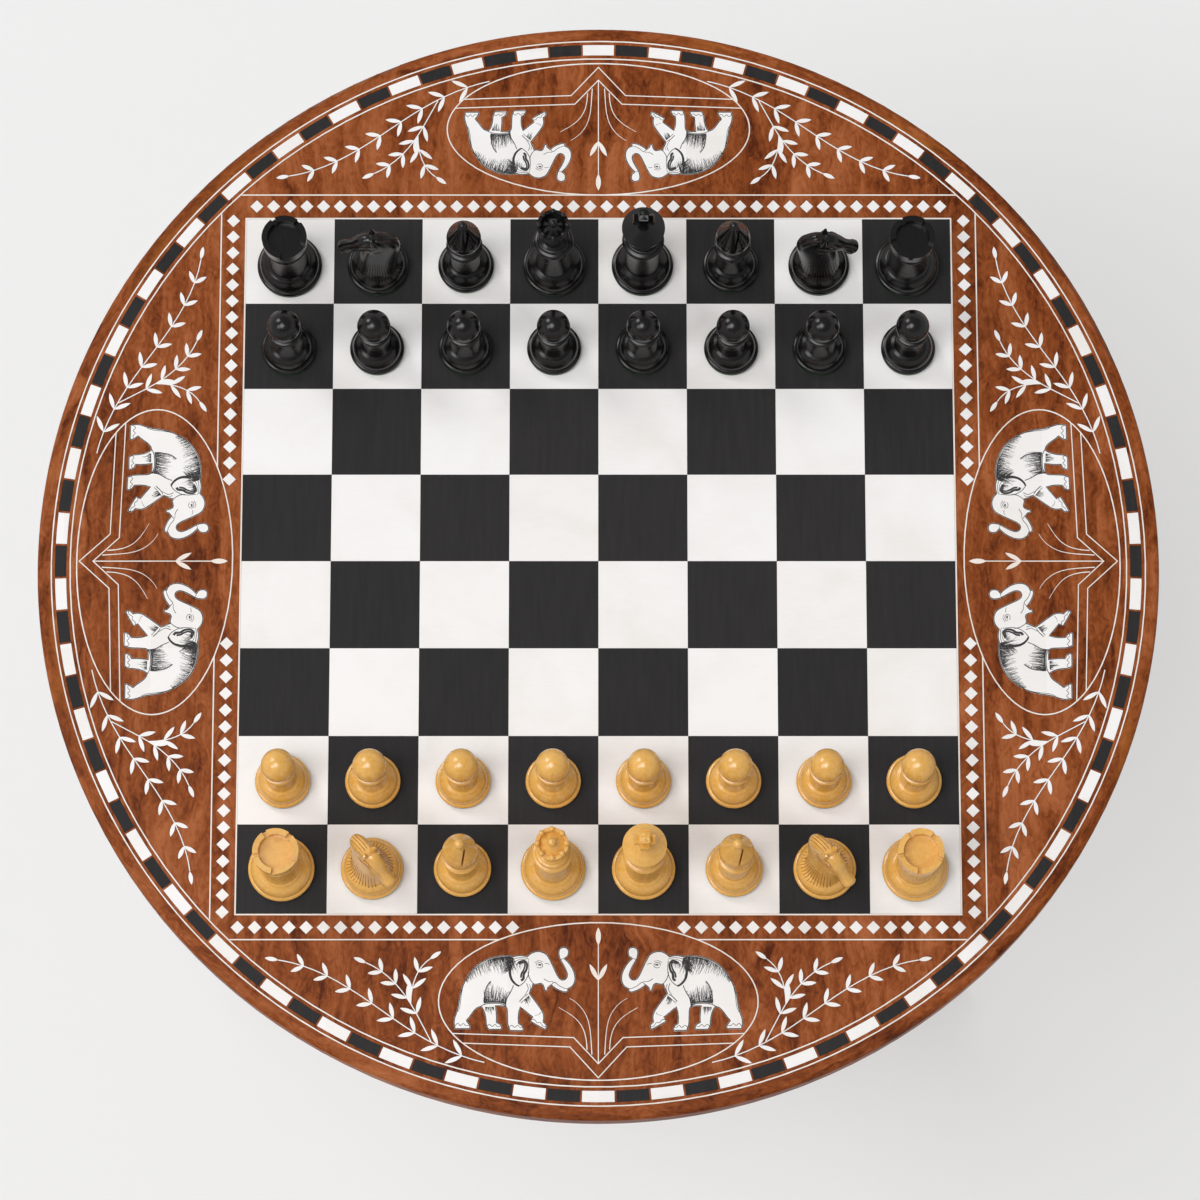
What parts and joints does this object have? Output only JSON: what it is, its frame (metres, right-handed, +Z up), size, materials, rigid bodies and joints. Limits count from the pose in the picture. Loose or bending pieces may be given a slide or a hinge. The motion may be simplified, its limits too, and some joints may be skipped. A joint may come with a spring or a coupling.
{
  "type": "chess table",
  "caption": "Round pedestal chess table with an inlaid top showing a board, ovals with elephants, leaf sprays and a block rim, three curved legs, and loose turned chess men.",
  "frame": {"origin": "on the floor under the middle of the board", "axes": "+Z up, +X to the right as the near player sees it, +Y from the near (pale) side to the far (black) side"},
  "size_m": [0.61, 0.61, 0.782],
  "materials": {
    "rosewood": "polished, strong figure",
    "core_wood": "plain",
    "base_wood": "polished",
    "white_inlay": "ivory white, polished",
    "black_inlay": "ebony, polished",
    "boxwood": "lacquered",
    "ebonised_wood": "lacquered",
    "screw_steel": "zinc",
    "glide_plastic": "matte"
  },
  "bodies": {
    "table": {"top_core": "core_wood", "edge_band": "rosewood", "ground_veneer": "rosewood", "rim_veneer": "rosewood", "white_squares": "white_inlay", "black_squares": "black_inlay", "board_border_string": "white_inlay", "diamond_inlays": "white_inlay", "white_rim_blocks": "white_inlay", "black_rim_blocks": "black_inlay", "rim_strings": "white_inlay", "panel_strings": "white_inlay", "leaf_inlays": "white_inlay", "elephant_inlays": "white_inlay", "bearer_near": "base_wood", "bearer_far": "base_wood", "bearer_screws": "screw_steel", "mounting_block": "base_wood", "block_screws": "screw_steel", "column": "base_wood", "tenon_wedge": "core_wood", "leg_rear": "base_wood", "leg_left": "base_wood", "leg_right": "base_wood", "base_cap": "base_wood", "cap_screw": "screw_steel", "foot_glides": "glide_plastic"},
    "white_rook_a": {"white_rook_a": "boxwood"},
    "white_knight_b": {"white_knight_b": "boxwood"},
    "white_bishop_c": {"white_bishop_c": "boxwood"},
    "white_queen": {"white_queen": "boxwood"},
    "white_king": {"white_king": "boxwood"},
    "white_bishop_f": {"white_bishop_f": "boxwood"},
    "white_knight_g": {"white_knight_g": "boxwood"},
    "white_rook_h": {"white_rook_h": "boxwood"},
    "white_pawn_a": {"white_pawn_a": "boxwood"},
    "white_pawn_b": {"white_pawn_b": "boxwood"},
    "white_pawn_c": {"white_pawn_c": "boxwood"},
    "white_pawn_d": {"white_pawn_d": "boxwood"},
    "white_pawn_e": {"white_pawn_e": "boxwood"},
    "white_pawn_f": {"white_pawn_f": "boxwood"},
    "white_pawn_g": {"white_pawn_g": "boxwood"},
    "white_pawn_h": {"white_pawn_h": "boxwood"},
    "black_rook_a": {"black_rook_a": "ebonised_wood"},
    "black_knight_b": {"black_knight_b": "ebonised_wood"},
    "black_bishop_c": {"black_bishop_c": "ebonised_wood"},
    "black_queen": {"black_queen": "ebonised_wood"},
    "black_king": {"black_king": "ebonised_wood"},
    "black_bishop_f": {"black_bishop_f": "ebonised_wood"},
    "black_knight_g": {"black_knight_g": "ebonised_wood"},
    "black_rook_h": {"black_rook_h": "ebonised_wood"},
    "black_pawn_a": {"black_pawn_a": "ebonised_wood"},
    "black_pawn_b": {"black_pawn_b": "ebonised_wood"},
    "black_pawn_c": {"black_pawn_c": "ebonised_wood"},
    "black_pawn_d": {"black_pawn_d": "ebonised_wood"},
    "black_pawn_e": {"black_pawn_e": "ebonised_wood"},
    "black_pawn_f": {"black_pawn_f": "ebonised_wood"},
    "black_pawn_g": {"black_pawn_g": "ebonised_wood"},
    "black_pawn_h": {"black_pawn_h": "ebonised_wood"}
  },
  "joints": [
    {"name": "lift_white_rook_a", "type": "slide", "parent": "table", "child": "white_rook_a", "axis": [0, 0, 1], "range_m": [0, 0.15]},
    {"name": "lift_white_knight_b", "type": "slide", "parent": "table", "child": "white_knight_b", "axis": [0, 0, 1], "range_m": [0, 0.15]},
    {"name": "lift_white_bishop_c", "type": "slide", "parent": "table", "child": "white_bishop_c", "axis": [0, 0, 1], "range_m": [0, 0.15]},
    {"name": "lift_white_queen", "type": "slide", "parent": "table", "child": "white_queen", "axis": [0, 0, 1], "range_m": [0, 0.15]},
    {"name": "lift_white_king", "type": "slide", "parent": "table", "child": "white_king", "axis": [0, 0, 1], "range_m": [0, 0.15]},
    {"name": "lift_white_bishop_f", "type": "slide", "parent": "table", "child": "white_bishop_f", "axis": [0, 0, 1], "range_m": [0, 0.15]},
    {"name": "lift_white_knight_g", "type": "slide", "parent": "table", "child": "white_knight_g", "axis": [0, 0, 1], "range_m": [0, 0.15]},
    {"name": "lift_white_rook_h", "type": "slide", "parent": "table", "child": "white_rook_h", "axis": [0, 0, 1], "range_m": [0, 0.15]},
    {"name": "lift_white_pawn_a", "type": "slide", "parent": "table", "child": "white_pawn_a", "axis": [0, 0, 1], "range_m": [0, 0.15]},
    {"name": "lift_white_pawn_b", "type": "slide", "parent": "table", "child": "white_pawn_b", "axis": [0, 0, 1], "range_m": [0, 0.15]},
    {"name": "lift_white_pawn_c", "type": "slide", "parent": "table", "child": "white_pawn_c", "axis": [0, 0, 1], "range_m": [0, 0.15]},
    {"name": "lift_white_pawn_d", "type": "slide", "parent": "table", "child": "white_pawn_d", "axis": [0, 0, 1], "range_m": [0, 0.15]},
    {"name": "lift_white_pawn_e", "type": "slide", "parent": "table", "child": "white_pawn_e", "axis": [0, 0, 1], "range_m": [0, 0.15]},
    {"name": "lift_white_pawn_f", "type": "slide", "parent": "table", "child": "white_pawn_f", "axis": [0, 0, 1], "range_m": [0, 0.15]},
    {"name": "lift_white_pawn_g", "type": "slide", "parent": "table", "child": "white_pawn_g", "axis": [0, 0, 1], "range_m": [0, 0.15]},
    {"name": "lift_white_pawn_h", "type": "slide", "parent": "table", "child": "white_pawn_h", "axis": [0, 0, 1], "range_m": [0, 0.15]},
    {"name": "lift_black_rook_a", "type": "slide", "parent": "table", "child": "black_rook_a", "axis": [0, 0, 1], "range_m": [0, 0.15]},
    {"name": "lift_black_knight_b", "type": "slide", "parent": "table", "child": "black_knight_b", "axis": [0, 0, 1], "range_m": [0, 0.15]},
    {"name": "lift_black_bishop_c", "type": "slide", "parent": "table", "child": "black_bishop_c", "axis": [0, 0, 1], "range_m": [0, 0.15]},
    {"name": "lift_black_queen", "type": "slide", "parent": "table", "child": "black_queen", "axis": [0, 0, 1], "range_m": [0, 0.15]},
    {"name": "lift_black_king", "type": "slide", "parent": "table", "child": "black_king", "axis": [0, 0, 1], "range_m": [0, 0.15]},
    {"name": "lift_black_bishop_f", "type": "slide", "parent": "table", "child": "black_bishop_f", "axis": [0, 0, 1], "range_m": [0, 0.15]},
    {"name": "lift_black_knight_g", "type": "slide", "parent": "table", "child": "black_knight_g", "axis": [0, 0, 1], "range_m": [0, 0.15]},
    {"name": "lift_black_rook_h", "type": "slide", "parent": "table", "child": "black_rook_h", "axis": [0, 0, 1], "range_m": [0, 0.15]},
    {"name": "lift_black_pawn_a", "type": "slide", "parent": "table", "child": "black_pawn_a", "axis": [0, 0, 1], "range_m": [0, 0.15]},
    {"name": "lift_black_pawn_b", "type": "slide", "parent": "table", "child": "black_pawn_b", "axis": [0, 0, 1], "range_m": [0, 0.15]},
    {"name": "lift_black_pawn_c", "type": "slide", "parent": "table", "child": "black_pawn_c", "axis": [0, 0, 1], "range_m": [0, 0.15]},
    {"name": "lift_black_pawn_d", "type": "slide", "parent": "table", "child": "black_pawn_d", "axis": [0, 0, 1], "range_m": [0, 0.15]},
    {"name": "lift_black_pawn_e", "type": "slide", "parent": "table", "child": "black_pawn_e", "axis": [0, 0, 1], "range_m": [0, 0.15]},
    {"name": "lift_black_pawn_f", "type": "slide", "parent": "table", "child": "black_pawn_f", "axis": [0, 0, 1], "range_m": [0, 0.15]},
    {"name": "lift_black_pawn_g", "type": "slide", "parent": "table", "child": "black_pawn_g", "axis": [0, 0, 1], "range_m": [0, 0.15]},
    {"name": "lift_black_pawn_h", "type": "slide", "parent": "table", "child": "black_pawn_h", "axis": [0, 0, 1], "range_m": [0, 0.15]}
  ]
}
